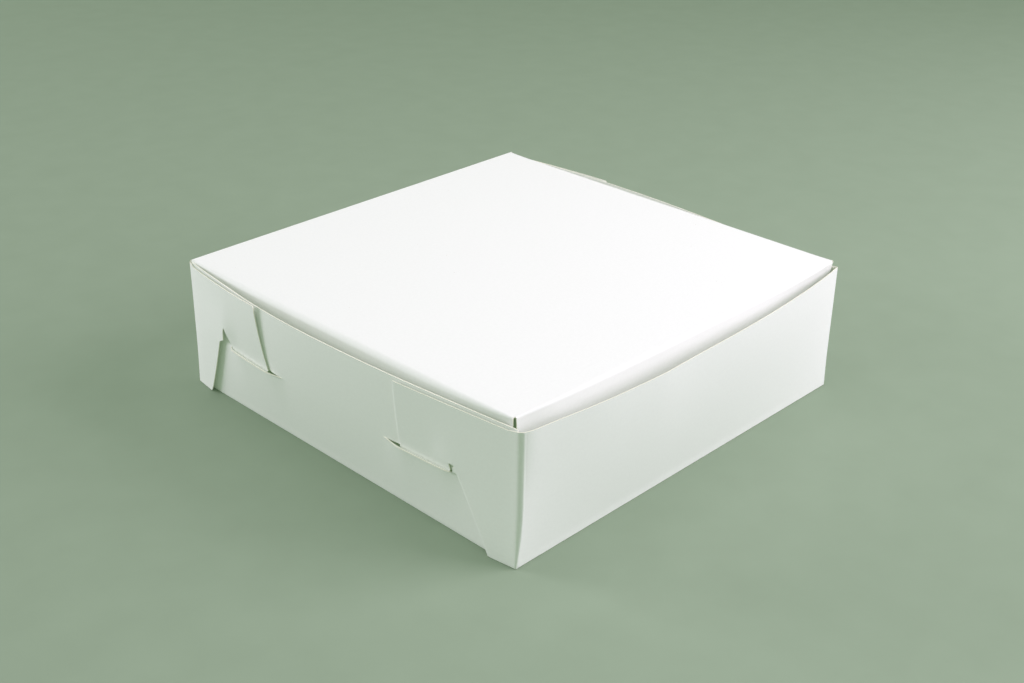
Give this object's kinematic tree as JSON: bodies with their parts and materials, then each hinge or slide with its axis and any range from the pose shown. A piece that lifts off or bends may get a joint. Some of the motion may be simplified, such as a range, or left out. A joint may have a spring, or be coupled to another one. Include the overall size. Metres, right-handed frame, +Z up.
{
  "type": "paper bakery box",
  "caption": "Square white paperboard box with a hinged tuck-in lid, bowed walls and corner flaps locked into slits; it holds cakes and pastries.",
  "frame": {"origin": "middle of the base panel's underside, on the table", "axes": "+Z up; +Y towards the rear wall, on which the lid hangs; +X to the right when facing the front wall"},
  "size_m": [0.2732, 0.2663, 0.0782],
  "materials": {
    "board": "matt uncoated white paperboard",
    "score": "crushed fold of the same paperboard"
  },
  "bodies": {
    "tray": {"bottom_panel": "board", "bottom_front_score": "score", "bottom_rear_score": "score", "bottom_left_score": "score", "bottom_right_score": "score", "left_wall": "board", "right_wall": "board", "rear_wall": "board", "rear_left_corner_score": "score", "rear_right_corner_score": "score", "rear_left_lock_flap": "board", "rear_right_lock_flap": "board", "lid_rear_score": "score"},
    "front": {"front_wall": "board", "front_left_corner_score": "score", "front_right_corner_score": "score", "front_left_lock_flap": "board", "front_right_lock_flap": "board"},
    "lid": {"lid_panel": "board", "lid_front_score": "score", "lid_left_score": "score", "lid_right_score": "score"},
    "lid_front": {"lid_front_flap": "board"},
    "lid_left": {"lid_left_flap": "board"},
    "lid_right": {"lid_right_flap": "board"}
  },
  "joints": [
    {"name": "front_wall_fold", "type": "hinge", "parent": "tray", "child": "front", "pos_m": [0, -0.1275, 0], "axis": [1, 0, 0], "range_deg": [0, 75]},
    {"name": "lid_hinge", "type": "hinge", "parent": "tray", "child": "lid", "pos_m": [0, 0.1275, 0.076], "axis": [-1, 0, 0], "range_deg": [0, 190]},
    {"name": "lid_front_fold", "type": "hinge", "parent": "lid", "child": "lid_front", "pos_m": [0, -0.12349, 0.07819], "axis": [-1, 0, 0], "range_deg": [0, 95]},
    {"name": "lid_left_fold", "type": "hinge", "parent": "lid", "child": "lid_left", "pos_m": [-0.125, 0.1275, 0.076], "axis": [0, 1, -0.0087], "range_deg": [0, 57]},
    {"name": "lid_right_fold", "type": "hinge", "parent": "lid", "child": "lid_right", "pos_m": [0.125, 0.1275, 0.076], "axis": [0, -1, 0.0087], "range_deg": [0, 57]}
  ],
  "couplings": [
    {"joint": "lid_front_fold", "follows": "lid_hinge", "ratio": 0.5},
    {"joint": "lid_left_fold", "follows": "lid_hinge", "ratio": 0.3},
    {"joint": "lid_right_fold", "follows": "lid_hinge", "ratio": 0.3}
  ]
}
